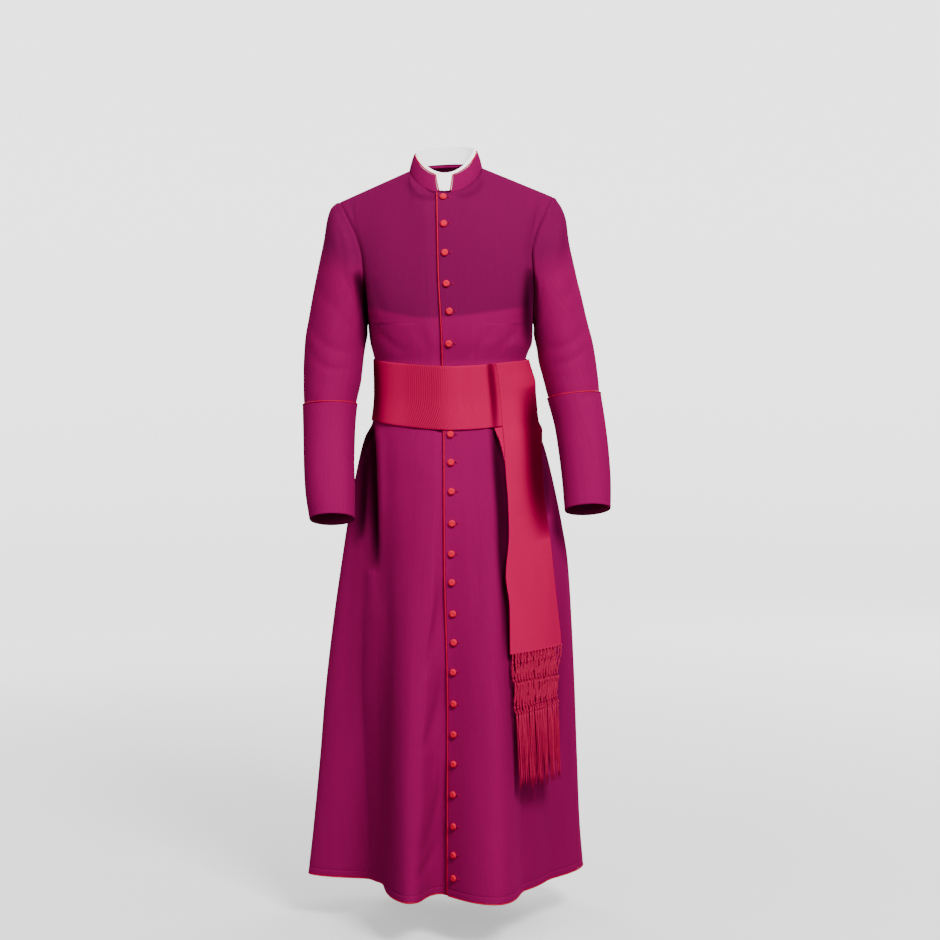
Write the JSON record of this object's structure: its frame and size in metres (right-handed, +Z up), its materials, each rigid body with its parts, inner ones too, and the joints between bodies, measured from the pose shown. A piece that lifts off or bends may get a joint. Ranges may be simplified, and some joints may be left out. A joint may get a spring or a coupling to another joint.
{
  "type": "cassock",
  "caption": "Ankle-length buttoned robe with standing collar, piped edges, set-in sleeves with deep cuffs and a wide fringed sash, in its worn, hollow form.",
  "frame": {"origin": "middle of the neck opening, level with the collar seam beside the neck", "axes": "+Z up, +X towards the wearer's left, -Y towards the front"},
  "size_m": [0.6213, 0.5297, 1.4962],
  "materials": {
    "wool_cloth": "fine smooth wool, amaranth purple, low sheen",
    "red_piping": "red corded piping",
    "ribbed_silk": "ribbed red-purple silk, soft sheen",
    "silk_fringe": "twisted silk fringe",
    "covered_button": "red cloth over a domed button",
    "white_linen": "plain white, smooth"
  },
  "bodies": {
    "root": {"front_left": "wool_cloth", "front_right": "wool_cloth", "back": "wool_cloth", "sleeve_left": "wool_cloth", "sleeve_right": "wool_cloth", "cuff_left": "wool_cloth", "cuff_right": "wool_cloth", "collar": "wool_cloth", "piping_front": "red_piping", "piping_collar": "red_piping", "piping_cuff_left": "red_piping", "piping_cuff_right": "red_piping", "piping_hem_front_left": "red_piping", "piping_hem_front_right": "red_piping", "piping_hem_back": "red_piping", "sash_band": "ribbed_silk", "sash_fall_front": "ribbed_silk", "sash_fall_rear": "ribbed_silk", "fringe_front": "silk_fringe", "fringe_rear": "silk_fringe", "neckband": "white_linen", "button_01": "covered_button", "button_02": "covered_button", "button_03": "covered_button", "button_04": "covered_button", "button_05": "covered_button", "button_06": "covered_button", "button_07": "covered_button", "button_08": "covered_button", "button_09": "covered_button", "button_10": "covered_button", "button_11": "covered_button", "button_12": "covered_button", "button_13": "covered_button", "button_14": "covered_button", "button_15": "covered_button", "button_16": "covered_button", "button_17": "covered_button", "button_18": "covered_button", "button_19": "covered_button", "button_20": "covered_button", "button_21": "covered_button", "button_22": "covered_button"}
  },
  "joints": []
}
